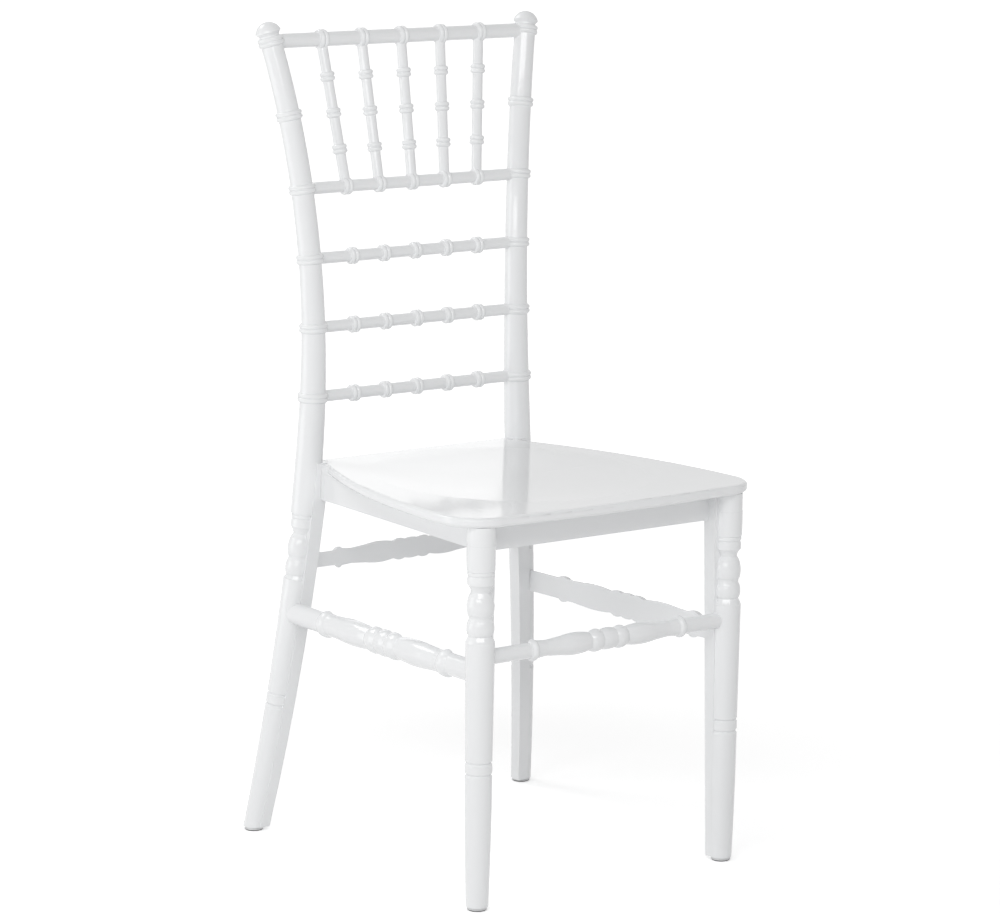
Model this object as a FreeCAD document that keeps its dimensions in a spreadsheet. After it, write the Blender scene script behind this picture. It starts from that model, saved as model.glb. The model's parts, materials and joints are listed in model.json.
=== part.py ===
"""A chiavari banquet chair in moulded resin, built piece by piece.

Millimetres, +Z up, +X to the sitter's left, the front towards -Y, standing on z = 0.
"""
import FreeCAD, Part
import math
import os

import Sketcher

V = FreeCAD.Vector
UP = V(0, 0, 1)
ALONG_X = V(1, 0, 0)

doc = FreeCAD.newDocument("ChiavariChair")
sheet = doc.addObject("Spreadsheet::Sheet", "Sizes")

# Driving sizes, one cell each
SIZES = {
    # Rear post: spread is the distance from the middle plane, depth the place along Y
    "post_foot_spread": 191.0,
    "post_foot_depth": 206.0,
    "post_foot_radius": 11.8,
    "post_calf_spread": 174.8,
    "post_calf_depth": 184.7,
    "post_calf_height": 140.0,
    "post_calf_radius": 13.2,
    "post_knee_spread": 158.9,
    "post_knee_depth": 169.5,
    "post_knee_height": 290.0,
    "post_knee_radius": 14.6,
    "post_hip_spread": 146.0,
    "post_hip_depth": 162.8,
    "post_hip_height": 430.0,
    "post_hip_radius": 15.4,
    "post_waist_spread": 141.0,
    "post_waist_depth": 162.7,
    "post_waist_height": 577.0,
    "post_waist_radius": 13.5,
    "post_blade_spread": 149.4,
    "post_blade_depth": 173.8,
    "post_blade_height": 731.5,
    "post_blade_radius": 12.6,
    "post_head_spread": 176.3,
    "post_head_depth": 198.7,
    "post_head_height": 898.0,
    "post_head_radius": 12.2,
    "post_turning_ratio": 0.93,
    "post_collar_proud": 2.6,
    "post_collar_pitch": 5.4,
    # Finial on each post
    "finial_neck_radius": 11.4,
    "finial_radius": 14.4,
    "finial_lip_height": 2.4,
    "finial_side_height": 5.6,
    "finial_height": 17.2,
    "finial_dowel_radius": 4.0,
    "finial_dowel_length": 12.0,
    # Back rungs, spindle rail and top rail
    "rung_upper_height": 654.0,
    "rung_middle_height": 577.3,
    "rung_lower_height": 499.6,
    "rung_radius": 6.6,
    "rung_ring_radius": 9.7,
    "rung_ring_spacing": 43.2,
    "spindle_rail_radius": 6.8,
    "spindle_rail_ring_radius": 9.9,
    "spindle_rail_ring_spacing": 45.2,
    "top_rail_height": 893.4,
    "top_rail_radius": 8.15,
    "top_rail_ring_radius": 11.2,
    "top_rail_ring_spacing": 54.2,
    "rail_ring_pitch": 5.4,
    "rail_groove_depth": 1.3,
    "rail_tenon_radius": 4.5,
    "rail_tenon_length": 9.0,
    # Back spindles
    "spindle_radius": 5.9,
    "spindle_ring_radius": 8.5,
    "spindle_ring_pitch": 5.3,
    "spindle_ring_spacing": 40.6,
    "spindle_tenon_radius": 3.4,
    "spindle_tenon_length": 5.5,
    # Square inner quarter of each leg
    "quarter_proud": 1.1,
    # Overlap of the post's turned necks with the shaft above them, and of its collars with it
    "turning_overlap": 3.0,
    "collar_root": 0.1,
    "floor_trim_reach": 48.0,
    # Front leg, turned about an upright axis
    "leg_spread": 168.9,
    "leg_depth": -190.6,
    "leg_foot_radius": 12.1,
    "leg_calf_radius": 13.9,
    "leg_calf_height": 76.0,
    "leg_shin_radius": 14.6,
    "leg_lower_score_height": 148.6,
    "leg_upper_score_height": 161.3,
    "leg_shaft_radius": 15.8,
    "leg_shaft_top_height": 291.5,
    "leg_shoulder_radius": 14.6,
    "leg_shoulder_height": 294.5,
    "leg_groove_radius": 12.6,
    "leg_groove_height": 298.4,
    "leg_bead_foot_radius": 14.0,
    "leg_bead_bottom_height": 300.8,
    "leg_bead_radius": 14.95,
    "leg_bead_height": 306.8,
    "leg_bead_top_radius": 13.8,
    "leg_bead_top_height": 313.6,
    "leg_waist_radius": 12.5,
    "leg_waist_height": 317.8,
    "leg_ball_foot_radius": 13.9,
    "leg_ball_bottom_height": 321.8,
    "leg_ball_radius": 14.8,
    "leg_ball_height": 328.5,
    "leg_ball_top_radius": 12.9,
    "leg_ball_top_height": 341.0,
    "leg_neck_radius": 10.1,
    "leg_neck_height": 345.8,
    "leg_flare_radius": 11.6,
    "leg_flare_height": 350.0,
    "leg_cup_radius": 14.6,
    "leg_cup_bottom_height": 354.0,
    "leg_cup_top_height": 359.5,
    "leg_collar_groove_radius": 13.6,
    "leg_collar_groove_height": 363.0,
    "leg_collar_radius": 14.7,
    "leg_collar_bottom_height": 364.6,
    "leg_collar_top_height": 366.6,
    "leg_collar_score_radius": 14.3,
    "leg_collar_score_height": 367.6,
    "leg_block_foot_radius": 15.2,
    "leg_block_bottom_height": 368.6,
    "leg_block_radius": 15.5,
    "leg_block_full_height": 377.0,
    "leg_block_top_height": 396.0,
    "leg_head_radius": 15.2,
    "leg_quarter_foot": 12.2,
    "leg_quarter_top": 19.5,
    "score_depth": 1.6,
    "score_half_width": 2.2,
    # Front and rear stretchers, turned on the outside and flat on the inside
    "front_stretcher_height": 274.2,
    "rear_stretcher_height": 311.8,
    "cross_ball_radius": 12.2,
    "cross_ball_foot_radius": 10.9,
    "cross_ball_half_width": 9.5,
    "cross_ring_radius": 12.7,
    "cross_ring_place": 16.8,
    "cross_ring_foot_radius": 10.1,
    "cross_ring_end": 25.0,
    "cross_barrel_radius": 12.3,
    "cross_barrel_place": 44.0,
    "cross_taper_radius": 10.5,
    "cross_taper_place": 64.0,
    "cross_neck_radius": 8.8,
    "cross_neck_place": 84.0,
    "cross_collar_foot_radius": 10.0,
    "cross_collar_foot_place": 97.0,
    "cross_collar_radius": 12.2,
    "cross_collar_place": 101.0,
    "cross_collar_end": 105.5,
    "cross_shank_radius": 8.6,
    "cross_end_radius": 8.5,
    # Side stretchers, a third stouter
    "side_stretcher_rear_height": 255.2,
    "side_stretcher_front_height": 258.2,
    "side_pattern_shift": 10.0,
    "side_ball_radius": 15.2,
    "side_ball_foot_radius": 13.6,
    "side_ball_half_width": 9.5,
    "side_ring_radius": 15.3,
    "side_ring_place": 17.8,
    "side_ring_foot_radius": 12.6,
    "side_ring_end": 28.5,
    "side_barrel_radius": 14.8,
    "side_barrel_place": 58.0,
    "side_taper_radius": 13.8,
    "side_taper_place": 80.0,
    "side_neck_radius": 12.8,
    "side_neck_place": 100.0,
    "side_collar_foot_radius": 13.2,
    "side_collar_foot_place": 108.0,
    "side_collar_radius": 15.4,
    "side_collar_place": 115.5,
    "side_collar_end": 123.0,
    "side_shank_radius": 12.4,
    "side_end_radius": 12.3,
    "stretcher_tenon_radius": 3.2,
    "stretcher_tenon_offset": 3.8,
    "stretcher_tenon_root": 32.0,
    "stretcher_tenon_stop": 6.5,
    # Seat panel; places along Y are measured back from its front edge
    "seat_height": 427.0,
    "seat_lip": 10.8,
    "seat_edge_round": 4.2,
    "seat_front_depth": -217.0,
    "seat_front_half_width": 150.3,
    "seat_front_setback": 6.2,
    "seat_corner_half_width": 191.0,
    "seat_corner_setback": 21.9,
    "seat_half_width": 202.0,
    "seat_widest_setback": 53.0,
    "seat_side_half_width": 184.7,
    "seat_side_setback": 215.0,
    "seat_rear_half_width": 133.5,
    "seat_rear_setback": 368.0,
    "seat_tongue_half_width": 130.2,
    "seat_length": 385.0,
    "seat_dish_depth": 3.0,
    "seat_dish_half_width": 150.0,
    "seat_dish_half_length": 165.0,
    "seat_dish_setback": 198.0,
    "seat_dish_steepness": 400.0,
    # Aprons under the seat
    "apron_drop": 31.2,
    "apron_wall": 4.0,
    "apron_flange": 16.0,
    "apron_flange_thickness": 3.5,
    "apron_flange_gap": 6.0,
    "front_apron_depth": -179.0,
    "rear_apron_depth": 153.0,
    "side_apron_front_spread": 159.4,
    "side_apron_rear_spread": 138.8,
    # Corner blocks with a bolt into the leg and a screw into the seat
    "block_side": 44.0,
    "block_toe": 6.0,
    "block_height": 22.0,
    "block_overlap": 1.0,
    "bolt_radius": 3.0,
    "bolt_head_radius": 6.0,
    "bolt_head_height": 4.0,
    "bolt_length": 46.0,
    "screw_radius": 2.0,
    "screw_head_radius": 4.2,
    "screw_head_height": 2.6,
    "screw_bite": 5.0,
    "screw_inset_along": 27.0,
    "screw_inset_across": 8.0,
    # Foot glides
    "glide_radius": 10.5,
    "glide_thickness": 4.0,
    "glide_edge": 1.0,
    "glide_plug_radius": 4.0,
    "glide_plug_length": 12.0,
    # Clearance of every dowel, tenon and bolt in its hole
    "fit_clearance": 0.1,
}

# Sizes worked out from the driving ones
DERIVED = {
    "seat_underside": "seat_height - seat_lip",
    "apron_bottom": "seat_underside - apron_drop",
    "front_apron_stock": "2 * leg_spread",
    "rear_apron_stock": "2 * post_hip_spread",
    "side_apron_run": "post_hip_depth - leg_depth",
    "side_apron_lean": "side_apron_front_spread - side_apron_rear_spread",
    "side_apron_stock": "sqrt(side_apron_run ^ 2 + side_apron_lean ^ 2)",
    "flange_inset": "block_side + leg_block_radius + apron_flange_gap",
    "finial_dome_rise": "finial_height - finial_side_height",
    "finial_dome_radius": "(finial_radius ^ 2 + finial_dome_rise ^ 2) / (2 * finial_dome_rise)",
    "finial_crown_drop": "finial_dome_radius - sqrt(finial_dome_radius ^ 2 - finial_radius ^ 2 / 4)",
    "dish_share": "sqrt(1 - (1 - seat_dish_depth / seat_dish_steepness) ^ 2)",
}

WORK_CELL = "D1"


def fill_sheet():
    """Write each size into the sheet under its own name."""
    names = list(SIZES) + list(DERIVED)
    for row, name in enumerate(names, start=1):
        content = str(SIZES[name]) if name in SIZES else "=" + DERIVED[name]
        sheet.set(f"A{row}", name)
        sheet.set(f"B{row}", content)
        sheet.setAlias(f"B{row}", name)
    doc.recompute()


def size(name):
    """The value of a named size."""
    return float(sheet.get(name))


def worked(formula):
    """The number that a formula of named sizes gives, worked out by the sheet."""
    sheet.set(WORK_CELL, "=" + formula)
    sheet.recompute()
    return float(sheet.get(WORK_CELL))


def bound(formula):
    """The same formula as an expression of another object."""
    text = ""
    word = ""
    for letter in formula + " ":
        if letter.isalnum() or letter == "_":
            word += letter
            continue
        text += "Sizes." + word if word in SIZES or word in DERIVED else word
        text += letter
        word = ""
    return text.strip()


def bind(thing, prop, formula):
    """Bind a property to a formula of named sizes."""
    thing.setExpression(prop, bound(formula))


def part_object(kind, label):
    """A document object with its own label."""
    thing = doc.addObject(kind, label)
    thing.Label = label
    return thing


def facing(direction):
    """The rotation that turns +Z into a direction."""
    return FreeCAD.Rotation(UP, direction)


# Sketches and bodies

def origin_plane(body, role):
    """One of a body's own origin planes."""
    return next(item for item in body.Origin.OriginFeatures if item.Role == role)


def new_sketch(body, name, role):
    """A sketch on one of the body's origin planes."""
    sketch = body.newObject("Sketcher::SketchObject", name)
    sketch.AttachmentSupport = [(origin_plane(body, role), "")]
    sketch.MapMode = "FlatFace"
    return sketch


def pin_point(sketch, geometry, place, across, along):
    """Hold one point of a sketch at two formulas of named sizes."""
    for kind, formula in (("DistanceX", across), ("DistanceY", along)):
        value = worked(formula)
        number = sketch.addConstraint(Sketcher.Constraint(kind, geometry, place, value))
        bind(sketch, f"Constraints[{number}]", formula)


NEAR = 1e-6


def draw_outline(sketch, outline):
    """Draw a closed outline of lines and arcs.

    Each entry is (across, along) for a corner, or (across, along, "crown") for a point
    that the arc between its two neighbours passes through.
    """
    points = [V(worked(p[0]), worked(p[1]), 0) for p in outline]
    crowned = [len(p) == 3 for p in outline]
    corners = [i for i, crown in enumerate(crowned) if not crown]
    pieces = []
    for turn, start in enumerate(corners):
        end = corners[(turn + 1) % len(corners)]
        middle = (start + 1) % len(outline)
        if crowned[middle]:
            arc = Part.Arc(points[start], points[middle], points[end])
            number = sketch.addGeometry(arc)
            forward = sketch.getPoint(number, 1).distanceToPoint(points[start]) < NEAR
            ends = (1, 2) if forward else (2, 1)
            crown = sketch.addGeometry(Part.Point(points[middle]), True)
            pin_point(sketch, crown, 1, outline[middle][0], outline[middle][1])
            sketch.addConstraint(Sketcher.Constraint("PointOnObject", crown, 1, number))
        else:
            number = sketch.addGeometry(Part.LineSegment(points[start], points[end]))
            ends = (1, 2)
        pieces.append((number, ends, start))
    for turn, (number, ends, start) in enumerate(pieces):
        before, before_ends, _ = pieces[turn - 1]
        sketch.addConstraint(Sketcher.Constraint("Coincident", before, before_ends[1], number, ends[0]))
        pin_point(sketch, number, ends[0], outline[start][0], outline[start][1])


def turned_body(label, outline, angle=360):
    """A body turned about its own Z axis from an outline of (radius, height)."""
    body = part_object("PartDesign::Body", label)
    sketch = new_sketch(body, label + "_outline", "XZ_Plane")
    draw_outline(sketch, outline)
    turning = body.newObject("PartDesign::Revolution", label + "_turning")
    turning.Profile = sketch
    turning.ReferenceAxis = (sketch, ["V_Axis"])
    turning.Angle = angle
    body.Tip = turning
    return body


def outline_wire(outline, ratio, base):
    """The same kind of outline as a wire in the XZ plane, with radii scaled."""
    points = [V(worked(p[0]) * ratio, 0, worked(p[1]) - base) for p in outline]
    edges = []
    for i, entry in enumerate(outline):
        if len(entry) == 3:
            continue
        follower = (i + 1) % len(outline)
        after = (i + 2) % len(outline)
        if len(outline[follower]) == 3:
            edges.append(Part.Arc(points[i], points[follower], points[after]).toShape())
        else:
            edges.append(Part.LineSegment(points[i], points[follower]).toShape())
    return Part.Wire(edges)


def pin(label, start, direction, radius, length):
    """A round pin, dowel or drill from a point along a direction."""
    thing = part_object("Part::Cylinder", label)
    bind(thing, "Radius", radius)
    bind(thing, "Height", length)
    thing.Placement = FreeCAD.Placement(start, facing(direction))
    return thing


def fused(label, things):
    """Several objects joined into one piece."""
    thing = part_object("Part::MultiFuse", label)
    thing.Shapes = things
    return thing


def joined(label, things):
    """Several objects as one tool, or the object itself when it is alone."""
    return things[0] if len(things) == 1 else fused(label, things)


def cut(label, base, tools):
    """One object with others taken out of it."""
    thing = part_object("Part::Cut", label)
    thing.Base = base
    thing.Tool = joined(label + "_tools", tools)
    return thing


def mirrored(label, source):
    """The opposite-hand copy of an object."""
    thing = part_object("Part::Mirroring", label)
    thing.Source = source
    thing.Base = V(0, 0, 0)
    thing.Normal = ALONG_X
    return thing


fill_sheet()
pieces = []


# Rear posts: one curved member from floor to finial

STATIONS = ["foot", "calf", "knee", "hip", "waist", "blade", "head"]


def station_height(name):
    """The height of a named station; the foot stands on the floor."""
    return 0.0 if name == "foot" else size(f"post_{name}_height")


def smooth_curve(points):
    """A smooth curve through points."""
    curve = Part.BSplineCurve()
    curve.interpolate(points)
    return curve


SPINE = smooth_curve(
    [V(size(f"post_{n}_spread"), size(f"post_{n}_depth"), station_height(n)) for n in STATIONS]
)
GIRTH = smooth_curve([V(size(f"post_{n}_radius"), 0, station_height(n)) for n in STATIONS])
BISECTIONS = 40


def at_height(curve, height):
    """The parameter at which a rising curve reaches a height."""
    low, high = curve.FirstParameter, curve.LastParameter
    for _ in range(BISECTIONS):
        middle = (low + high) / 2
        if curve.value(middle).z < height:
            low = middle
        else:
            high = middle
    return low


def spine_point(height):
    """The post's axis at a height."""
    return SPINE.value(at_height(SPINE, height))


def spine_direction(height):
    """The direction of the post's axis at a height."""
    return SPINE.tangent(at_height(SPINE, height))[0]


def post_radius(height):
    """The post's plain radius at a height."""
    return GIRTH.value(at_height(GIRTH, height)).x


def spread(count, low, high):
    """Evenly spaced heights between two limits."""
    return [low + (high - low) * i / (count - 1) for i in range(count)]


def round_loft(heights):
    """The round post between two heights, lofted through circles square to its axis."""
    rings = []
    for height in heights:
        circle = Part.Circle(spine_point(height), spine_direction(height), post_radius(height))
        rings.append(Part.Wire(circle.toShape()))
    return Part.makeLoft(rings, True, False)


def square_loft(heights):
    """The square inner quarter of the rear leg."""
    wires = []
    for height in heights:
        axis = spine_point(height)
        side = post_radius(height) + size("quarter_proud")
        corners = [V(0, 0, 0), V(-side, 0, 0), V(-side, -side, 0), V(0, -side, 0), V(0, 0, 0)]
        wires.append(Part.makePolygon([axis + corner for corner in corners]))
    return Part.makeLoft(wires, True, True)


def ring_pair(radius, ring_radius, pitch, groove_depth):
    """Two round beads side by side, centred on the origin, as a solid of revolution."""
    groove = V(ring_radius - groove_depth, 0, 0)
    low = V(radius, 0, -pitch)
    high = V(radius, 0, pitch)
    edges = [
        Part.LineSegment(V(0, 0, -pitch), low).toShape(),
        Part.Arc(low, V(ring_radius, 0, -pitch / 2), groove).toShape(),
        Part.Arc(groove, V(ring_radius, 0, pitch / 2), high).toShape(),
        Part.LineSegment(high, V(0, 0, pitch)).toShape(),
        Part.LineSegment(V(0, 0, pitch), V(0, 0, -pitch)).toShape(),
    ]
    return Part.Face(Part.Wire(edges)).revolve(V(0, 0, 0), UP, 360)


SCORES = ["leg_lower_score_height", "leg_upper_score_height"]


def score_ring(formula):
    """The ring that a score takes out of the post."""
    height = worked(formula)
    inner = post_radius(height) - size("score_depth")
    outer = post_radius(height) + size("score_depth")
    rise = 2 * size("score_half_width")
    corners = [V(inner, 0, 0), V(outer, 0, -rise), V(outer, 0, rise), V(inner, 0, 0)]
    ring = Part.Face(Part.makePolygon(corners)).revolve(V(0, 0, 0), UP, 360)
    ring.Placement = FreeCAD.Placement(spine_point(height), facing(spine_direction(height)))
    return ring


LEG_TURNING = [
    ("leg_groove_radius", "leg_groove_height"),
    ("leg_bead_foot_radius", "leg_bead_bottom_height"),
    ("leg_bead_radius", "leg_bead_height", "crown"),
    ("leg_bead_top_radius", "leg_bead_top_height"),
    ("leg_waist_radius", "leg_waist_height", "crown"),
    ("leg_ball_foot_radius", "leg_ball_bottom_height"),
    ("leg_ball_radius", "leg_ball_height", "crown"),
    ("leg_ball_top_radius", "leg_ball_top_height"),
    ("leg_neck_radius", "leg_neck_height"),
    ("leg_flare_radius", "leg_flare_height", "crown"),
    ("leg_cup_radius", "leg_cup_bottom_height"),
    ("leg_cup_radius", "leg_cup_top_height"),
    ("leg_collar_groove_radius", "leg_collar_groove_height"),
    ("leg_collar_radius", "leg_collar_bottom_height"),
    ("leg_collar_radius", "leg_collar_top_height"),
    ("leg_collar_score_radius", "leg_collar_score_height"),
    ("leg_block_foot_radius", "leg_block_bottom_height"),
]


def post_turning():
    """The necks, ball and bead between the post's shaft and its block."""
    low = size("leg_shaft_top_height")
    high = size("leg_block_bottom_height")
    ratio = size("post_turning_ratio")
    outline = [("0", "leg_shaft_top_height"), ("leg_shoulder_radius", "leg_shaft_top_height")]
    outline += [("leg_shoulder_radius", "leg_shoulder_height")]
    outline += LEG_TURNING[:-1]
    top = "leg_block_bottom_height + turning_overlap"
    outline += [("leg_collar_score_radius", top), ("0", top)]
    solid = Part.Face(outline_wire(outline, ratio, low)).revolve(V(0, 0, 0), UP, 360)
    foot = spine_point(low)
    solid.Placement = FreeCAD.Placement(foot, facing(spine_point(high) - foot))
    return solid


COLLAR_HEIGHTS = [
    "rung_lower_height",
    "rung_middle_height",
    "rung_upper_height",
    "post_blade_height",
    "(post_blade_height + top_rail_height) / 2",
    "top_rail_height",
]


LOWER_SECTIONS = 8
UPPER_SECTIONS = 14
QUARTER_SECTIONS = 9


def post_shape():
    """The whole post, still without its sockets."""
    shaft_top = size("leg_shoulder_height")
    block = size("leg_block_bottom_height")
    head = size("post_head_height")
    shaft = round_loft(spread(LOWER_SECTIONS, 0, shaft_top))
    solids = [shaft.cut([score_ring(score) for score in SCORES])]
    solids += [round_loft(spread(UPPER_SECTIONS, block, head)), post_turning()]
    solids += [square_loft(spread(QUARTER_SECTIONS, 0, size("seat_height")))]
    pitch = size("post_collar_pitch")
    for formula in COLLAR_HEIGHTS:
        height = worked(formula)
        radius = post_radius(height)
        ring_radius = radius + size("post_collar_proud")
        root = radius - size("collar_root")
        collar = ring_pair(root, ring_radius, pitch, size("rail_groove_depth"))
        collar.Placement = FreeCAD.Placement(spine_point(height), facing(spine_direction(height)))
        solids.append(collar)
    whole = solids[0].multiFuse(solids[1:])
    reach = size("floor_trim_reach")
    slab = Part.makeBox(2 * reach, 2 * reach, reach + size("glide_thickness"))
    slab.translate(spine_point(0) - V(reach, reach, reach))
    return whole.cut(slab)


post_blank = part_object("Part::Feature", "post_blank")
post_blank.Shape = post_shape()
post_blank_mirror = mirrored("post_blank_mirror", post_blank)


# Front legs: a turned body with a square quarter

def leg_outline():
    """Radius and height of the front leg, from its foot to its head."""
    outline = [("0", "glide_thickness"), ("leg_foot_radius", "glide_thickness")]
    outline += [("leg_calf_radius", "leg_calf_height", "crown")]
    for score in SCORES:
        outline += [("leg_shin_radius", f"{score} - score_half_width")]
        outline += [("leg_shin_radius - score_depth", score)]
        outline += [("leg_shin_radius", f"{score} + score_half_width")]
    outline += [("leg_shaft_radius", "leg_shaft_top_height"), ("leg_shoulder_radius", "leg_shoulder_height")]
    outline += LEG_TURNING
    outline += [("leg_block_radius", "leg_block_full_height"), ("leg_block_radius", "leg_block_top_height")]
    outline += [("leg_head_radius", "leg_block_top_height")]
    outline += [("leg_head_radius", "seat_underside"), ("0", "seat_underside")]
    return outline


def leg_blank():
    """The left front leg, still without its sockets."""
    body = turned_body("leg_turned", leg_outline())
    quarter = part_object("Part::Wedge", "leg_quarter")
    bind(quarter, "Ymin", "glide_thickness")
    bind(quarter, "Ymax", "seat_underside")
    quarter.Xmin = 0
    quarter.Zmin = 0
    quarter.X2min = 0
    quarter.Z2min = 0
    for prop in ("Xmax", "Zmax"):
        bind(quarter, prop, "leg_quarter_foot")
    for prop in ("X2max", "Z2max"):
        bind(quarter, prop, "leg_quarter_top")
    # The wedge's own Y stands up, its X runs inwards and its Z runs back
    quarter.Placement = FreeCAD.Placement(V(0, 0, 0), FreeCAD.Rotation(V(-1, 0, 0), UP, V(0, 1, 0), "XYZ"))
    whole = fused("leg_blank", [body, quarter])
    whole.Placement = FreeCAD.Placement(V(size("leg_spread"), size("leg_depth"), 0), FreeCAD.Rotation())
    return whole


front_leg_blank = leg_blank()
front_leg_blank_mirror = mirrored("leg_blank_mirror", front_leg_blank)


# Finials, dowelled into the posts' tops

FINIAL_OUTLINE = [
    ("0", "0"),
    ("finial_dowel_radius", "0"),
    ("finial_dowel_radius", "finial_dowel_length"),
    ("finial_neck_radius", "finial_dowel_length"),
    ("finial_neck_radius", "finial_dowel_length + finial_lip_height"),
    ("finial_radius", "finial_dowel_length + finial_side_height"),
    ("finial_radius / 2", "finial_dowel_length + finial_height - finial_crown_drop", "crown"),
    ("0", "finial_dowel_length + finial_height"),
]

finial = turned_body("finial_left", FINIAL_OUTLINE)
head_point = spine_point(size("post_head_height"))
head_direction = spine_direction(size("post_head_height"))
dowel_foot = head_point - head_direction * size("finial_dowel_length")
finial.Placement = FreeCAD.Placement(dowel_foot, facing(head_direction))
finial_hole = pin(
    "finial_hole",
    dowel_foot - head_direction * size("fit_clearance"),
    head_direction,
    "finial_dowel_radius + fit_clearance",
    "finial_dowel_length + finial_lip_height",
)
finial_mirror = mirrored("finial_right", finial)
pieces += [finial, finial_mirror]


# Members with ring pairs: back rungs, spindle rail, top rail and spindles

SPINDLE_COUNT = 5
RAIL_RING_COUNT = 5
SPINDLE_RING_COUNT = 3


def ringed_rod(label, names, half_length, ring_count):
    """A rod along its own Z with evenly spaced ring pairs; half_length is a formula."""
    body = part_object("PartDesign::Body", label)
    rod = body.newObject("PartDesign::AdditiveCylinder", label + "_rod")
    bind(rod, "Radius", names["radius"])
    bind(rod, "Height", f"2 * {half_length}")
    sketch = new_sketch(body, label + "_ring_outline", "XZ_Plane")
    first = f"{half_length} - {(ring_count - 1) / 2} * {names['spacing']}"
    groove = f"{names['ring']} - {names['groove']}"
    outline = [
        ("0", f"{first} - {names['pitch']}"),
        (names["radius"], f"{first} - {names['pitch']}"),
        (names["ring"], f"{first} - {names['pitch']} / 2", "crown"),
        (groove, first),
        (names["ring"], f"{first} + {names['pitch']} / 2", "crown"),
        (names["radius"], f"{first} + {names['pitch']}"),
        ("0", f"{first} + {names['pitch']}"),
    ]
    draw_outline(sketch, outline)
    pair = body.newObject("PartDesign::Revolution", label + "_ring_pair")
    pair.Profile = sketch
    pair.ReferenceAxis = (sketch, ["V_Axis"])
    pair.Angle = 360
    rings = body.newObject("PartDesign::LinearPattern", label + "_rings")
    rings.Originals = [pair]
    rings.Direction = (sketch, ["V_Axis"])
    bind(rings, "Length", f"{ring_count - 1} * {names['spacing']}")
    rings.Occurrences = ring_count
    body.Tip = rings
    return body


def crossbar(label, prefix, height):
    """A bar between the posts: ringed rod, saddles at its ends and a tenon into each post."""
    names = {
        "radius": prefix + "_radius",
        "ring": prefix + "_ring_radius",
        "spacing": prefix + "_ring_spacing",
        "pitch": "rail_ring_pitch",
        "groove": "rail_groove_depth",
    }
    middle = spine_point(worked(height))
    half = add_size(label + "_half_length", middle.x)
    rod = ringed_rod(label + "_rod", names, half, RAIL_RING_COUNT)
    rod.Placement = FreeCAD.Placement(V(-middle.x, middle.y, middle.z), facing(ALONG_X))
    ends = [post_blank, post_blank_mirror, finial, finial_mirror]
    saddled = cut(label + "_saddled", rod, ends)
    tenon_end = add_size(label + "_tenon_end", middle.x - post_radius(middle.z))
    tenon_half = f"{tenon_end} + rail_tenon_length"
    start = V(-worked(tenon_half), middle.y, middle.z)
    tenon = pin(label + "_tenons", start, ALONG_X, "rail_tenon_radius", f"2 * ({tenon_half})")
    return rod, fused(label, [saddled, tenon]), tenon_socket(label, tenon_end, middle)


def tenon_socket(label, tenon_end, middle):
    """The hole in the left post for a crossbar's tenon."""
    start = V(0, middle.y, middle.z)
    depth = f"{tenon_end} + rail_tenon_length + fit_clearance"
    return pin(label + "_socket", start, ALONG_X, "rail_tenon_radius + fit_clearance", depth)


def add_size(name, value):
    """One more cell of the sheet, for a place found on the post's curve."""
    row = len(SIZES) + len(DERIVED) + 1
    DERIVED[name] = str(value)
    sheet.set(f"A{row}", name)
    sheet.set(f"B{row}", str(value))
    sheet.setAlias(f"B{row}", name)
    sheet.recompute()
    return name


post_sockets = []
bars = {}
for name, prefix, height in (
    ("top_rail", "top_rail", "top_rail_height"),
    ("spindle_rail", "spindle_rail", "post_blade_height"),
    ("back_rung_upper", "rung", "rung_upper_height"),
    ("back_rung_middle", "rung", "rung_middle_height"),
    ("back_rung_lower", "rung", "rung_lower_height"),
):
    rod, bar, socket = crossbar(name + "_bar", prefix, height)
    bars[name] = (rod, bar)
    post_sockets.append(socket)


# Spindles between the spindle rail and the top rail

SPINDLE_NAMES = {
    "radius": "spindle_radius",
    "ring": "spindle_ring_radius",
    "spacing": "spindle_ring_spacing",
    "pitch": "spindle_ring_pitch",
    "groove": "rail_groove_depth",
}
spindle_sockets = []
low_line = spine_point(size("post_blade_height"))
high_line = spine_point(size("top_rail_height"))
for number in range(SPINDLE_COUNT):
    step = number - (SPINDLE_COUNT - 1) / 2
    low = V(step * size("spindle_rail_ring_spacing"), low_line.y, low_line.z)
    high = V(step * size("top_rail_ring_spacing"), high_line.y, high_line.z)
    label = f"back_spindle_{number + 1}"
    half = add_size(label + "_half_length", (high - low).Length / 2)
    rod = ringed_rod(label + "_rod", SPINDLE_NAMES, half, SPINDLE_RING_COUNT)
    rod.Placement = FreeCAD.Placement(low, facing(high - low))
    rails = [bars["spindle_rail"][0], bars["top_rail"][0]]
    saddled = cut(label + "_saddled", rod, rails)
    run = high - low
    run.normalize()
    tip = low + run * (size("spindle_rail_radius") - size("spindle_tenon_length"))
    end = high - run * (size("top_rail_radius") - size("spindle_tenon_length"))
    reach = add_size(label + "_tenon_run", (end - tip).Length)
    tenon = pin(label + "_tenons", tip, run, "spindle_tenon_radius", reach)
    pieces.append(fused(label, [saddled, tenon]))
    play = size("fit_clearance")
    drill = pin(
        label + "_socket",
        tip - run * play,
        run,
        "spindle_tenon_radius + fit_clearance",
        f"{reach} + 2 * fit_clearance",
    )
    spindle_sockets.append(drill)

for name in bars:
    bar = bars[name][1]
    if name in ("top_rail", "spindle_rail"):
        pieces.append(cut(name, bar, spindle_sockets))
    else:
        bar.Label = name
        pieces.append(bar)


# Stretchers: half-turned bars between the legs

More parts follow.
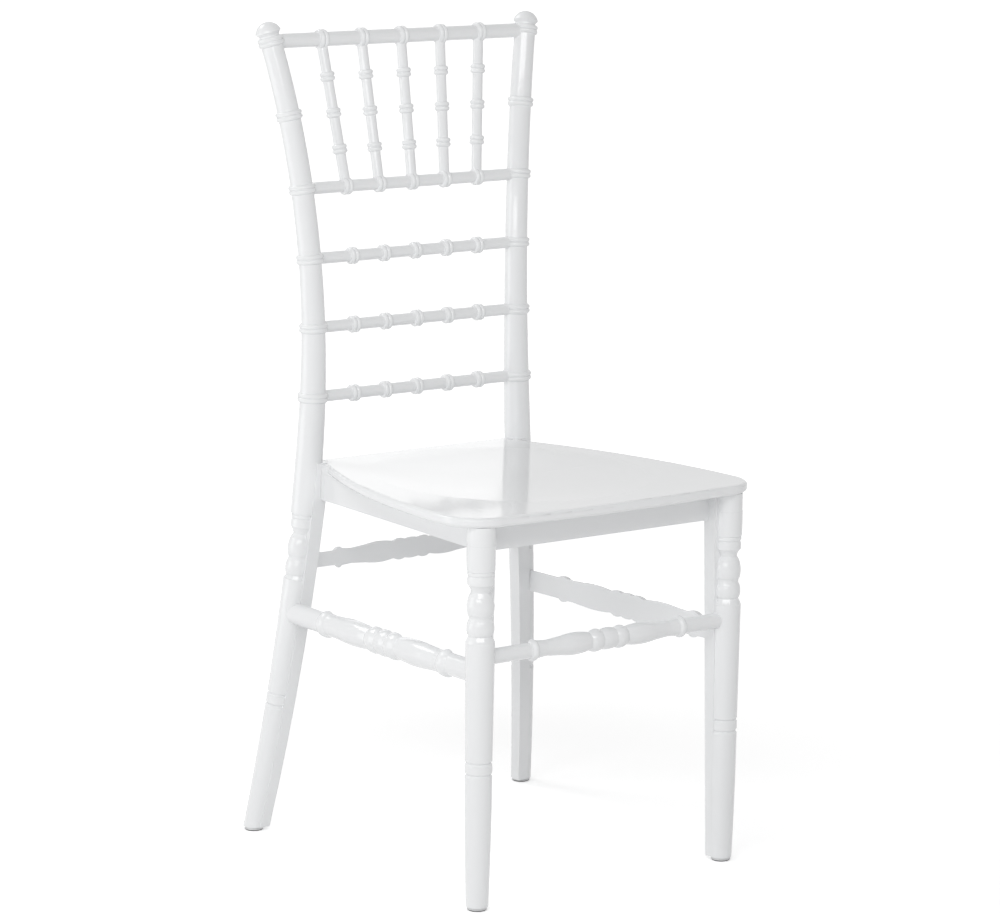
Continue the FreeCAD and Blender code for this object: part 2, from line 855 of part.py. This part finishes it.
def stretcher_outline(prefix, start_run, end_run):
    """Radius and place along the bar; the pattern is mirrored about its middle."""
    half = [
        (f"{prefix}_ball_foot_radius", f"{prefix}_ball_half_width"),
        (f"{prefix}_ring_radius", f"{prefix}_ring_place", "crown"),
        (f"{prefix}_ring_foot_radius", f"{prefix}_ring_end"),
        (f"{prefix}_barrel_radius", f"{prefix}_barrel_place", "crown"),
        (f"{prefix}_taper_radius", f"{prefix}_taper_place"),
        (f"{prefix}_neck_radius", f"{prefix}_neck_place"),
        (f"{prefix}_collar_foot_radius", f"{prefix}_collar_foot_place"),
        (f"{prefix}_collar_radius", f"{prefix}_collar_place", "crown"),
        (f"{prefix}_shank_radius", f"{prefix}_collar_end"),
    ]
    outline = [("0", "0"), (f"{prefix}_end_radius", "0")]
    for entry in reversed(half):
        outline.append((entry[0], f"{start_run} - {entry[1]}") + entry[2:])
    outline.append((f"{prefix}_ball_radius", start_run, "crown"))
    for entry in half:
        outline.append((entry[0], f"{start_run} + {entry[1]}") + entry[2:])
    full = f"{start_run} + {end_run}"
    return outline + [(f"{prefix}_end_radius", full), ("0", full)]


def stretcher(label, prefix, start, end, outward, shift, shoulders):
    """A bar from one leg's axis to another's, round outwards and flat inwards."""
    run = end - start
    length = run.Length
    run.normalize()
    side = outward - run * outward.dot(run)
    side.normalize()
    start_run = add_size(label + "_start_run", length / 2 + shift)
    end_run = add_size(label + "_end_run", length / 2 - shift)
    body = turned_body(label + "_turned", stretcher_outline(prefix, start_run, end_run), 180)
    body.Placement = FreeCAD.Placement(start, FreeCAD.Rotation(side.cross(run), side, run, "ZYX"))
    shouldered = cut(label + "_shouldered", body, shoulders)
    offset = side * size("stretcher_tenon_offset")
    root = size("stretcher_tenon_root")
    tenons = []
    sockets = []
    for end_name, axis, inward in (("start", start, run), ("end", end, run * -1)):
        place = axis + inward * root + offset
        name = f"{label}_{end_name}"
        reach = "stretcher_tenon_root - stretcher_tenon_stop"
        tenons.append(pin(name + "_tenon", place, inward * -1, "stretcher_tenon_radius", reach))
        radius = "stretcher_tenon_radius + fit_clearance"
        sockets.append(pin(name + "_socket", place, inward * -1, radius, reach + " + fit_clearance"))
    return fused(label, [shouldered] + tenons), sockets


leg_axis = V(size("leg_spread"), size("leg_depth"), 0)


def other_side(point):
    """The same point on the other side of the middle plane."""
    return V(-point.x, point.y, point.z)


front_start = leg_axis + UP * size("front_stretcher_height")
front_stretcher, front_sockets = stretcher(
    "front_stretcher",
    "cross",
    other_side(front_start),
    front_start,
    V(0, -1, 0),
    0,
    [front_leg_blank, front_leg_blank_mirror],
)
rear_start = spine_point(size("rear_stretcher_height"))
rear_stretcher, rear_sockets = stretcher(
    "rear_stretcher",
    "cross",
    other_side(rear_start),
    rear_start,
    V(0, 1, 0),
    0,
    [post_blank, post_blank_mirror],
)
side_stretcher_left, side_sockets = stretcher(
    "side_stretcher_left",
    "side",
    spine_point(size("side_stretcher_rear_height")),
    leg_axis + UP * size("side_stretcher_front_height"),
    ALONG_X,
    size("side_pattern_shift"),
    [front_leg_blank, post_blank],
)
pieces += [front_stretcher, rear_stretcher, side_stretcher_left]
pieces.append(mirrored("side_stretcher_right", side_stretcher_left))


# Aprons: angle sections between the legs, just under the seat

def rectangle(low_across, low_along, high_across, high_along):
    """The outline of a rectangle between two corners."""
    return [
        (low_across, low_along),
        (high_across, low_along),
        (high_across, high_along),
        (low_across, high_along),
    ]


def apron_body(label, stock):
    """A wall with an inward flange along its top, drawn along its own X from its outer face."""
    body = part_object("PartDesign::Body", label)
    wall_sketch = new_sketch(body, label + "_wall_outline", "YZ_Plane")
    draw_outline(wall_sketch, rectangle("0", "0", "apron_wall", "apron_drop"))
    wall = body.newObject("PartDesign::Pad", label + "_wall")
    wall.Profile = wall_sketch
    bind(wall, "Length", stock)
    flange_sketch = new_sketch(body, label + "_flange_outline", "YZ_Plane")
    foot = "apron_drop - apron_flange_thickness"
    draw_outline(flange_sketch, rectangle("0", foot, "apron_flange", "apron_drop"))
    bind(flange_sketch, "AttachmentOffset.Base.z", "flange_inset")
    flange = body.newObject("PartDesign::Pad", label + "_flange")
    flange.Profile = flange_sketch
    bind(flange, "Length", f"{stock} - 2 * flange_inset")
    body.Tip = flange
    return body


apron_level = size("apron_bottom")
front_stock = apron_body("front_apron_stock_piece", "front_apron_stock")
front_stock.Placement.Base = V(-size("leg_spread"), size("front_apron_depth"), apron_level)
front_apron = cut("front_apron", front_stock, [front_leg_blank, front_leg_blank_mirror])

rear_stock = apron_body("rear_apron_stock_piece", "rear_apron_stock")
rear_stock.Placement = FreeCAD.Placement(
    V(size("post_hip_spread"), size("rear_apron_depth"), apron_level), FreeCAD.Rotation(UP, 180)
)
rear_apron = cut("rear_apron", rear_stock, [post_blank, post_blank_mirror])

side_stock = apron_body("side_apron_stock_piece", "side_apron_stock")
lean = math.degrees(math.atan2(size("side_apron_lean"), size("side_apron_run")))
side_stock.Placement = FreeCAD.Placement(
    V(size("side_apron_front_spread"), size("leg_depth"), apron_level), FreeCAD.Rotation(UP, 90 + lean)
)
side_apron = cut("left_apron_shouldered", side_stock, [front_leg_blank, post_blank])
pieces += [front_apron, rear_apron]


# Seat panel

def edges_at(shape, heights):
    """The names of the edges that lie flat at one of several heights."""
    names = []
    for number, edge in enumerate(shape.Edges, start=1):
        box = edge.BoundBox
        level = [h for h in heights if abs(box.ZMin - h) < NEAR and abs(box.ZMax - h) < NEAR]
        if level:
            names.append(f"Edge{number}")
    return names


def seat_outline():
    """The seat from above: across from the middle, along from the front edge."""
    half = [
        ("seat_front_half_width", "seat_front_setback"),
        ("seat_corner_half_width", "seat_corner_setback", "crown"),
        ("seat_half_width", "seat_widest_setback"),
        ("seat_side_half_width", "seat_side_setback", "crown"),
        ("seat_rear_half_width", "seat_rear_setback"),
        ("seat_tongue_half_width", "seat_rear_setback"),
        ("seat_tongue_half_width", "seat_length"),
    ]
    outline = list(half)
    for entry in reversed(half):
        outline.append(("0 - " + entry[0],) + entry[1:])
    return outline + [("0", "0", "crown")]


seat_body = part_object("PartDesign::Body", "seat_slab")
seat_sketch = new_sketch(seat_body, "seat_outline", "XY_Plane")
draw_outline(seat_sketch, seat_outline())
seat_pad = seat_body.newObject("PartDesign::Pad", "seat_pad")
seat_pad.Profile = seat_sketch
bind(seat_pad, "Length", "seat_lip")
doc.recompute()
seat_rounds = seat_body.newObject("PartDesign::Fillet", "seat_rounds")
seat_rounds.Base = (seat_pad, edges_at(seat_pad.Shape, [0, size("seat_lip")]))
bind(seat_rounds, "Radius", "seat_edge_round")
seat_body.Tip = seat_rounds
seat_body.Placement.Base = V(0, size("seat_front_depth"), size("seat_underside"))

dish = part_object("Part::Ellipsoid", "seat_dish")
bind(dish, "Radius1", "seat_dish_steepness")
bind(dish, "Radius2", "seat_dish_half_width / dish_share")
bind(dish, "Radius3", "seat_dish_half_length / dish_share")
dish.Placement.Base = V(
    0,
    worked("seat_front_depth + seat_dish_setback"),
    worked("seat_height - seat_dish_depth + seat_dish_steepness"),
)


# Corner blocks with their bolts and seat screws

BLOCK_OUTLINE = [
    ("0", "0"),
    ("block_side", "0"),
    ("block_side", "block_toe"),
    ("block_toe", "block_side"),
    ("0", "block_side"),
]


def corner_block(label, corner, angle, neighbours):
    """A block in the corner under the seat, its bolt, its screw and the drills for both."""
    body = part_object("PartDesign::Body", label + "_stock")
    sketch = new_sketch(body, label + "_outline", "XY_Plane")
    draw_outline(sketch, BLOCK_OUTLINE)
    pad = body.newObject("PartDesign::Pad", label + "_pad")
    pad.Profile = sketch
    bind(pad, "Length", "block_height")
    base = V(corner.x, corner.y, worked("seat_underside - block_height"))
    body.Placement = FreeCAD.Placement(base, FreeCAD.Rotation(UP, angle))
    place = body.Placement
    face = worked("(block_side + block_toe) / 2")
    head_seat = place.multVec(V(face, face, size("block_height") / 2))
    outward = place.Rotation.multVec(V(-1, -1, 0))
    outward.normalize()
    back = head_seat - outward * size("bolt_head_height")
    bolt = fused(
        label + "_bolt",
        [
            pin(label + "_bolt_head", back, outward, "bolt_head_radius", "bolt_head_height"),
            pin(label + "_bolt_shank", back, outward, "bolt_radius", "bolt_head_height + bolt_length"),
        ],
    )
    bolt_drill = pin(
        label + "_bolt_hole",
        back,
        outward,
        "bolt_radius + fit_clearance",
        "bolt_head_height + bolt_length + fit_clearance",
    )
    foot = place.multVec(V(size("screw_inset_along"), size("screw_inset_across"), 0))
    low = foot - UP * size("screw_head_height")
    run = "screw_head_height + block_height + screw_bite"
    screw = fused(
        label + "_screw",
        [
            pin(label + "_screw_head", low, UP, "screw_head_radius", "screw_head_height"),
            pin(label + "_screw_shank", low, UP, "screw_radius", run),
        ],
    )
    screw_drill = pin(
        label + "_screw_hole", low, UP, "screw_radius + fit_clearance", run + " + fit_clearance"
    )
    block = cut(label, body, neighbours + [bolt_drill, screw_drill])
    return block, bolt, screw, bolt_drill, screw_drill


def apron_spread(depth):
    """The side apron's outer face at a depth."""
    share = (depth - size("leg_depth")) / size("side_apron_run")
    return size("side_apron_front_spread") - share * size("side_apron_lean")


wall = size("apron_wall")
overlap = size("block_overlap")
front_corner_depth = size("front_apron_depth") + wall
front_corner = V(apron_spread(front_corner_depth) - wall + overlap, front_corner_depth - overlap, 0)
front_block, front_bolt, front_screw, front_bolt_hole, front_screw_hole = corner_block(
    "front_left_corner_block", front_corner, 90, [front_leg_blank, front_apron, side_apron]
)
rear_corner_depth = size("rear_apron_depth") - wall
rear_reach = rear_corner_depth - size("block_side")
rear_corner = V(apron_spread(rear_reach) - wall + overlap, rear_corner_depth + overlap, 0)
rear_block, rear_bolt, rear_screw, rear_bolt_hole, rear_screw_hole = corner_block(
    "rear_left_corner_block", rear_corner, 180, [post_blank, rear_apron, side_apron]
)
pieces += [front_block, mirrored("front_right_corner_block", front_block)]
pieces += [rear_block, mirrored("rear_right_corner_block", rear_block)]
left_apron = cut("left_apron", side_apron, [front_bolt_hole, rear_bolt_hole])
pieces += [left_apron, mirrored("right_apron", left_apron)]


def group_of_four(label, front, rear):
    """The left pair of identical fasteners and their opposite-hand pair, as one node."""
    thing = part_object("Part::Compound", label)
    thing.Links = [front, rear, mirrored(label + "_front_right", front), mirrored(label + "_rear_right", rear)]
    return thing


pieces.append(group_of_four("corner_bolts", front_bolt, rear_bolt))
pieces.append(group_of_four("seat_screws", front_screw, rear_screw))

screw_holes = [front_screw_hole, rear_screw_hole]
screw_holes += [mirrored(hole.Label + "_mirror", hole) for hole in screw_holes]
seat_tools = [dish, post_blank, post_blank_mirror] + screw_holes
pieces.append(cut("seat_panel", seat_body, seat_tools))


# Foot glides, each plugged into the end of its leg

GLIDE_OUTLINE = [
    ("0", "0"),
    ("glide_radius - glide_edge", "0"),
    ("glide_radius", "glide_edge"),
    ("glide_radius", "glide_thickness"),
    ("glide_plug_radius", "glide_thickness"),
    ("glide_plug_radius", "glide_thickness + glide_plug_length"),
    ("0", "glide_thickness + glide_plug_length"),
]


def glide(label, place):
    """A glide under a leg, and the hole for its plug."""
    body = turned_body(label, GLIDE_OUTLINE)
    body.Placement.Base = V(place.x, place.y, 0)
    run = "glide_thickness + glide_plug_length + fit_clearance"
    hole = pin(label + "_hole", V(place.x, place.y, 0), UP, "glide_plug_radius + fit_clearance", run)
    return body, hole


front_glide, front_glide_hole = glide("front_left_glide", leg_axis)
rear_glide, rear_glide_hole = glide("rear_left_glide", spine_point(size("glide_thickness")))
pieces += [front_glide, mirrored("front_right_glide", front_glide)]
pieces += [rear_glide, mirrored("rear_right_glide", rear_glide)]


# Legs and posts with their sockets

post_tools = post_sockets + [rear_sockets[1], side_sockets[0], rear_bolt_hole, rear_glide_hole]
rear_post = cut("rear_post_left", post_blank, post_tools + [finial_hole, finial])
leg_tools = [front_sockets[1], side_sockets[1], front_bolt_hole, front_glide_hole]
front_leg = cut("front_leg_left", front_leg_blank, leg_tools)
pieces += [rear_post, mirrored("rear_post_right", rear_post)]
pieces += [front_leg, mirrored("front_leg_right", front_leg)]

doc.recompute()


def check_document():
    """Stop if any object failed or any piece isn't sound."""
    for thing in doc.Objects:
        if {"Invalid", "Error"} & set(thing.State):
            raise RuntimeError(f"{thing.Label} failed: {thing.State}")
    for piece in pieces:
        if piece.Shape.isNull() or not piece.Shape.isValid():
            raise RuntimeError(f"{piece.Label} has no sound shape")


def write_parts():
    """Write each piece to its own file."""
    os.makedirs("parts", exist_ok=True)
    for piece in pieces:
        piece.Shape.exportStep(f"parts/{piece.Label}.step")


check_document()
write_parts()
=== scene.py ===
"""The looks of a glossy white chiavari banquet chair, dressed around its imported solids."""
import json
import math

import bmesh
import bpy
from mathutils import Matrix, Vector


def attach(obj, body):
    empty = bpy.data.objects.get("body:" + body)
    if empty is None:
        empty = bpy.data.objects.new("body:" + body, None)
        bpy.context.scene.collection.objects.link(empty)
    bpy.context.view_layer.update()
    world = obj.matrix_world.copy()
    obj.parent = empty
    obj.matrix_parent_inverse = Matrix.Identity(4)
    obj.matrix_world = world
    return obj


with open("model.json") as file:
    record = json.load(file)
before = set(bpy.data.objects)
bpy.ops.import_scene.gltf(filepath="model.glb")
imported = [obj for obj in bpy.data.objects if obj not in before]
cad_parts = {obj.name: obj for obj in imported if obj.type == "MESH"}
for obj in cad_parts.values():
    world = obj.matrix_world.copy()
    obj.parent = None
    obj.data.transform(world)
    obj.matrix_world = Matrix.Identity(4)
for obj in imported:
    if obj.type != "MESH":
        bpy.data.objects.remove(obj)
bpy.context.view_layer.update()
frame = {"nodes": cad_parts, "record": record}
MM = 0.001

# Camera, as fitted to the chair's feet, rungs and seat
CAMERA_PLACE = Vector((-2.6497, -3.5035, 1.2543))
CAMERA_YAW = math.radians(37.081)
CAMERA_PITCH = math.radians(10.540)
CAMERA_ROLL = math.radians(-0.749)
CAMERA_LENS = 145.5
SENSOR_WIDTH = 36.0
CAMERA_REACH = 50

# Finishes, as sRGB
RESIN_WHITE = "F2F3F4"
BLOCK_WHITE = "E6E6E4"
GLIDE_GREY = "DDDEDF"
# The thin dark band at the bottom of each foot, where it meets the floor
BASE_BAND_BLACK = "2B2A29"
ZINC_GREY = "B9BBBD"
STUDIO_WHITE = "FFFFFF"

# What the floor adds to its own light to show white, near the chair and where the lamps fade
NEAR_FLOOR_LIFT = 0.38
FAR_FLOOR_LIFT = 0.7
# Metres from the chair's middle between which that light grows
NEAR_FLOOR_REACH = 0.5
FAR_FLOOR_REACH = 3.0
FLOOR_SIZE = 30

# Soft light from all round, and the white that the camera and the gloss see there
SOFT_WORLD = 0.4
WHITE_WORLD = 1.0


def linear(hex_colour):
    """A linear colour from an sRGB hex value."""
    channels = [int(hex_colour[i:i + 2], 16) / 255 for i in (0, 2, 4)]
    return [c / 12.92 if c <= 0.04045 else ((c + 0.055) / 1.055) ** 2.4 for c in channels] + [1.0]


def add_node(tree, kind, settings=None, links=None, **values):
    """A node with its properties, its input values and its incoming links."""
    node = tree.nodes.new(kind)
    for name, value in (settings or {}).items():
        setattr(node, name, value)
    for name, value in values.items():
        node.inputs[name.replace("_", " ")].default_value = value
    for name, source in (links or {}).items():
        tree.links.new(source, node.inputs[name])
    return node


def blank_material(name):
    """A material with an empty node tree, and the tree."""
    material = bpy.data.materials.new(name)
    material.use_nodes = True
    material.node_tree.nodes.clear()
    return material, material.node_tree


# Polypropylene's 1.49, raised to match the strength of the chair's highlights
RESIN_IOR = 1.58
# Shares of a resin's roughness between which its gloss wavers
GLOSSIEST = 0.85
DULLEST = 1.2
RIPPLE_HEIGHT_MM = 0.2
# Most of a noise texture's values lie between these
NOISE_LOW = 0.3
NOISE_HIGH = 0.7
RUBBER_IOR = 1.5
# Real rubber is pitted at about 0.2 mm, which is too fine to show
RUBBER_GRAIN_MM = 0.8
RUBBER_PIT_MM = 0.1
# The cap's colour is full at this many times the height of the dark band at the foot's bottom
CAP_START = 1.3


def moulded_resin(name, colour, roughness, ripple_mm):
    """Polypropylene from a polished mould: an even white, whose gloss wavers with sink ripples."""
    material, tree = blank_material(name)
    place = add_node(tree, "ShaderNodeNewGeometry")
    sinks = add_node(
        tree,
        "ShaderNodeTexNoise",
        links={"Vector": place.outputs["Position"]},
        Scale=1 / (ripple_mm * MM),
        Detail=2.0,
        Roughness=0.45,
    )
    gloss = add_node(
        tree,
        "ShaderNodeMapRange",
        links={"Value": sinks.outputs["Fac"]},
        From_Min=NOISE_LOW,
        From_Max=NOISE_HIGH,
        To_Min=roughness * GLOSSIEST,
        To_Max=roughness * DULLEST,
    )
    ripple = add_node(
        tree,
        "ShaderNodeBump",
        links={"Height": sinks.outputs["Fac"]},
        Strength=0.05,
        Distance=RIPPLE_HEIGHT_MM * MM,
    )
    shader = add_node(
        tree,
        "ShaderNodeBsdfPrincipled",
        links={"Roughness": gloss.outputs["Result"], "Normal": ripple.outputs["Normal"]},
        Base_Color=linear(colour),
        IOR=RESIN_IOR,
    )
    add_node(tree, "ShaderNodeOutputMaterial", links={"Surface": shader.outputs["BSDF"]})
    return material


def capped_rubber(name, cap_colour, base_band_colour, base_band_mm):
    """A pale moulded foot cap that is dark in a thin band at its bottom along the floor, all of it
    dull.
    """
    material, tree = blank_material(name)
    place = add_node(tree, "ShaderNodeNewGeometry")
    height = add_node(tree, "ShaderNodeSeparateXYZ", links={"Vector": place.outputs["Position"]})
    above = add_node(
        tree,
        "ShaderNodeMapRange",
        links={"Value": height.outputs["Z"]},
        From_Min=base_band_mm * MM,
        From_Max=base_band_mm * MM * CAP_START,
    )
    grain = add_node(
        tree,
        "ShaderNodeTexNoise",
        links={"Vector": place.outputs["Position"]},
        Scale=1 / (RUBBER_GRAIN_MM * MM),
        Detail=3.0,
    )
    pitted = add_node(
        tree,
        "ShaderNodeBump",
        links={"Height": grain.outputs["Fac"]},
        Strength=0.3,
        Distance=RUBBER_PIT_MM * MM,
    )
    # Dark in a thin band up to the given height above the floor, with the pale cap's colour above
    # it
    colours = add_node(
        tree, "ShaderNodeMix", {"data_type": "RGBA"}, links={0: above.outputs["Result"]}
    )
    # Sockets of a mix node in its colour form: 6 and 7 are the colours, output 2 the mix
    colours.inputs[6].default_value = linear(base_band_colour)
    colours.inputs[7].default_value = linear(cap_colour)
    shader = add_node(
        tree,
        "ShaderNodeBsdfPrincipled",
        links={"Base Color": colours.outputs[2], "Normal": pitted.outputs["Normal"]},
        Roughness=0.6,
        IOR=RUBBER_IOR,
    )
    add_node(tree, "ShaderNodeOutputMaterial", links={"Surface": shader.outputs["BSDF"]})
    return material


def zinc_plate(name, colour, spangle_mm):
    """Zinc-plated steel: a dull grey metal with a fine spangle in its gloss."""
    material, tree = blank_material(name)
    place = add_node(tree, "ShaderNodeNewGeometry")
    spangle = add_node(
        tree,
        "ShaderNodeTexVoronoi",
        links={"Vector": place.outputs["Position"]},
        Scale=1 / (spangle_mm * MM),
    )
    # Roughness grows from the middle of each spangle to its edge
    gloss = add_node(
        tree,
        "ShaderNodeMapRange",
        links={"Value": spangle.outputs["Distance"]},
        To_Min=0.28,
        To_Max=0.45,
    )
    shader = add_node(
        tree,
        "ShaderNodeBsdfPrincipled",
        links={"Roughness": gloss.outputs["Result"]},
        Base_Color=linear(colour),
        Metallic=1.0,
    )
    add_node(tree, "ShaderNodeOutputMaterial", links={"Surface": shader.outputs["BSDF"]})
    return material


materials = {
    "gloss_resin": moulded_resin(
        "glossy_white_polypropylene", RESIN_WHITE, roughness=0.1, ripple_mm=38
    ),
    "block_resin": moulded_resin(
        "plain_moulded_resin", BLOCK_WHITE, roughness=0.42, ripple_mm=12
    ),
    "glide_rubber": capped_rubber(
        "pale_cap_dark_at_base", GLIDE_GREY, BASE_BAND_BLACK, base_band_mm=1.1
    ),
    "fastener_steel": zinc_plate("zinc_plated_steel", ZINC_GREY, spangle_mm=1.5),
}

for entry in frame["record"]["subparts"]:
    node = frame["nodes"][entry["node"]]
    node.data.materials.clear()
    node.data.materials.append(materials[entry["material_slot"]])


# Ears of the seat's rim, which reach over the side aprons to the rear posts. All sizes in mm.
# The outline gives places along Y and heights.
EAR_OUTLINE = [
    (151.5, 385.6),
    (151.5, 426.2),
    (120.0, 426.2),
    (120.0, 414.8),
    (143.4, 414.8),
    (143.4, 385.6),
]
EAR_THICKNESS = 9.0
EAR_PROUD = 0.9
EAR_ROUNDING = 1.2
ROUNDING_STEPS = 3
# The outer face of a side apron: half its spread at its rear end, and how it widens forwards
APRON_REAR_SPREAD = 138.8
APRON_REAR_DEPTH = 162.8
APRON_LEAN = 0.0583


def apron_spread(depth):
    """How far the side apron's outer face stands from the middle, at a place along Y."""
    return APRON_REAR_SPREAD + APRON_LEAN * (APRON_REAR_DEPTH - depth)


def add_ear(name, side):
    """The moulded ear at the rear end of one side apron."""
    form = bmesh.new()
    outer = []
    inner = []
    for depth, height in EAR_OUTLINE:
        face = apron_spread(depth) + EAR_PROUD
        outer.append(form.verts.new((side * face * MM, depth * MM, height * MM)))
        inner.append(form.verts.new((side * (face - EAR_THICKNESS) * MM, depth * MM, height * MM)))
    form.faces.new(outer)
    form.faces.new(inner)
    for i in range(len(outer)):
        follower = (i + 1) % len(outer)
        form.faces.new((outer[i], outer[follower], inner[follower], inner[i]))
    bmesh.ops.recalc_face_normals(form, faces=form.faces)
    mesh = bpy.data.meshes.new(name)
    form.to_mesh(mesh)
    form.free()
    ear = bpy.data.objects.new(name, mesh)
    bpy.context.scene.collection.objects.link(ear)
    rounding = ear.modifiers.new("rounding", "BEVEL")
    rounding.width = EAR_ROUNDING * MM
    rounding.segments = ROUNDING_STEPS
    mesh.materials.append(materials["gloss_resin"])
    mesh.shade_smooth()
    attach(ear, "root")


add_ear("seat_ear_left", 1)
add_ear("seat_ear_right", -1)


def add_camera():
    """The camera at the photograph's view."""
    forward = Vector((
        math.sin(CAMERA_YAW) * math.cos(CAMERA_PITCH),
        math.cos(CAMERA_YAW) * math.cos(CAMERA_PITCH),
        -math.sin(CAMERA_PITCH),
    ))
    level = Vector((math.cos(CAMERA_YAW), -math.sin(CAMERA_YAW), 0))
    down = forward.cross(level)
    right = math.cos(CAMERA_ROLL) * level + math.sin(CAMERA_ROLL) * down
    up = -forward.cross(right)
    data = bpy.data.cameras.new("studio_camera")
    data.lens = CAMERA_LENS
    data.sensor_width = SENSOR_WIDTH
    data.clip_end = CAMERA_REACH
    camera = bpy.data.objects.new("studio_camera", data)
    turn = Matrix((right, up, -forward)).transposed()
    camera.matrix_world = Matrix.Translation(CAMERA_PLACE) @ turn.to_4x4()
    bpy.context.scene.collection.objects.link(camera)
    bpy.context.scene.camera = camera


def add_softbox(name, place, aim, width, height, power):
    """A rectangular soft lamp turned towards a point."""
    data = bpy.data.lights.new(name, "AREA")
    data.shape = "RECTANGLE"
    data.size = width
    data.size_y = height
    data.energy = power
    lamp = bpy.data.objects.new(name, data)
    lamp.location = place
    lamp.rotation_euler = (Vector(aim) - Vector(place)).to_track_quat("-Z", "Y").to_euler()
    bpy.context.scene.collection.objects.link(lamp)


def shown_rays(tree):
    """One for the rays that show a surface directly, in gloss or through glass, else nought."""
    path = add_node(tree, "ShaderNodeLightPath")
    shown = path.outputs["Is Camera Ray"]
    for kind in ("Is Glossy Ray", "Is Transmission Ray"):
        larger = add_node(
            tree, "ShaderNodeMath", {"operation": "MAXIMUM"}, {0: shown, 1: path.outputs[kind]}
        )
        shown = larger.outputs[0]
    return shown


def add_floor():
    """A pale floor that shows white where it is lit and keeps the chair's shadow."""
    bpy.ops.mesh.primitive_plane_add(size=FLOOR_SIZE)
    floor = bpy.context.object
    floor.name = "studio_floor"
    material, tree = blank_material("pale_floor")
    plain = add_node(tree, "ShaderNodeBsdfDiffuse", Color=linear(STUDIO_WHITE))
    place = add_node(tree, "ShaderNodeNewGeometry")
    distance = add_node(
        tree, "ShaderNodeVectorMath", {"operation": "LENGTH"}, {0: place.outputs["Position"]}
    )
    lift = add_node(
        tree,
        "ShaderNodeMapRange",
        links={"Value": distance.outputs["Value"]},
        From_Min=NEAR_FLOOR_REACH,
        From_Max=FAR_FLOOR_REACH,
        To_Min=NEAR_FLOOR_LIFT,
        To_Max=FAR_FLOOR_LIFT,
    )
    glow = add_node(
        tree,
        "ShaderNodeEmission",
        links={"Strength": lift.outputs["Result"]},
        Color=linear(STUDIO_WHITE),
    )
    lifted = add_node(tree, "ShaderNodeAddShader", links={0: plain.outputs[0], 1: glow.outputs[0]})
    shown = add_node(
        tree,
        "ShaderNodeMixShader",
        links={0: shown_rays(tree), 1: plain.outputs[0], 2: lifted.outputs[0]},
    )
    add_node(tree, "ShaderNodeOutputMaterial", links={"Surface": shown.outputs[0]})
    floor.data.materials.append(material)


def light_studio():
    """White surroundings for the camera and for reflections, and a plain soft light."""
    world = bpy.data.worlds.new("studio")
    bpy.context.scene.world = world
    world.use_nodes = True
    tree = world.node_tree
    tree.nodes.clear()
    soft = add_node(tree, "ShaderNodeBackground", Color=linear(STUDIO_WHITE), Strength=SOFT_WORLD)
    white = add_node(tree, "ShaderNodeBackground", Color=linear(STUDIO_WHITE), Strength=WHITE_WORLD)
    mixed = add_node(
        tree,
        "ShaderNodeMixShader",
        links={0: shown_rays(tree), 1: soft.outputs[0], 2: white.outputs[0]},
    )
    add_node(tree, "ShaderNodeOutputWorld", links={"Surface": mixed.outputs[0]})


# Each lamp: name, place, the point it faces, width and height in metres, and watts
LAMPS = [
    # The highlights on the upper halves of the turned beads
    ("front_softbox", (-1.15, -1.55, 1.95), (0, -0.1, 0.35), 2.8, 0.55, 19.5),
    # The long streaks on the posts and spindles
    ("low_strip", (-1.95, -1.45, 0.95), (0, 0.1, 0.6), 2.2, 0.2, 5.5),
    # The left faces of the legs
    ("left_softbox", (-1.9, 0.9, 0.6), (0, 0, 0.3), 1.2, 1.2, 6),
    # The tops of seat and rails, and the shadows towards the camera
    ("rear_softbox", (-1.0, 2.2, 2.9), (0, 0, 0.3), 1.3, 1.3, 18),
    # The sheen on the rear of the seat
    ("seat_sheen_softbox", (1.1, 2.6, 1.28), (0, 0, 0.43), 1.5, 1.06, 2.4),
]

add_camera()
add_floor()
light_studio()
for lamp in LAMPS:
    add_softbox(*lamp)
bpy.context.scene.view_settings.view_transform = "Standard"
